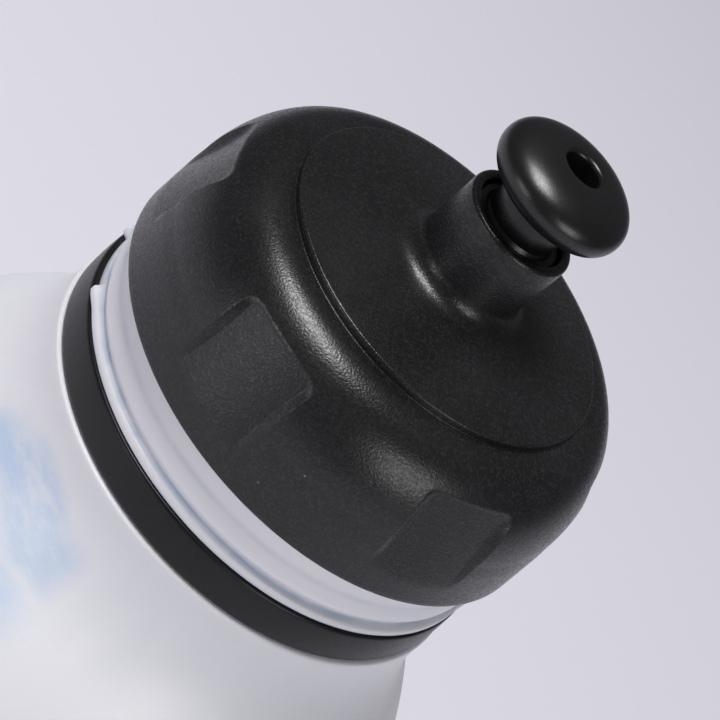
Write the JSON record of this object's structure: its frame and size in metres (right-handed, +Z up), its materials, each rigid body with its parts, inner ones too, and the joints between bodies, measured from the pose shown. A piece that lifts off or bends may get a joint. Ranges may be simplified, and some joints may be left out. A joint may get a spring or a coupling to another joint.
{
  "type": "water bottle",
  "caption": "Squeeze bottle for a bicycle carrier, with a screw cap, a shoulder ring and a push-pull mouthpiece.",
  "frame": {"origin": "centre of the foot ring's plane, under the bottle's axis", "axes": "+Z up along the bottle's axis, from the base to the mouthpiece"},
  "size_m": [0.074, 0.074, 0.2003],
  "materials": {
    "bottle_plastic": "satin",
    "ring_black": "satin",
    "cap_black": "matte",
    "core_black": "satin",
    "mouth_black": "satin",
    "stem_black": "satin",
    "seal_rubber": "matte",
    "gasket_white": "matte"
  },
  "bodies": {
    "bottle": {"bottle_body": "bottle_plastic", "neck_ring": "ring_black"},
    "cap_seal": {"cap_gasket": "gasket_white"},
    "cap": {"cap_shell": "cap_black", "spout_core": "core_black"},
    "mouthpiece": {"mouthpiece_stem": "stem_black", "stem_seal": "seal_rubber", "mouthpiece_head": "mouth_black"}
  },
  "joints": [
    {"name": "cap_lift", "type": "slide", "parent": "bottle", "child": "cap_seal", "axis": [0, 0, 1], "range_m": [0, 0.003]},
    {"name": "cap_turn", "type": "hinge", "parent": "cap_seal", "child": "cap", "pos_m": [0, 0, 0.163], "axis": [0, 0, 1], "range_deg": [0, 300]},
    {"name": "mouthpiece_push", "type": "slide", "parent": "cap", "child": "mouthpiece", "axis": [0, 0, -1], "range_m": [0, 0.0036]}
  ],
  "couplings": [
    {"joint": "cap_lift", "follows": "cap_turn", "m_per_rad": 0.00057296}
  ]
}
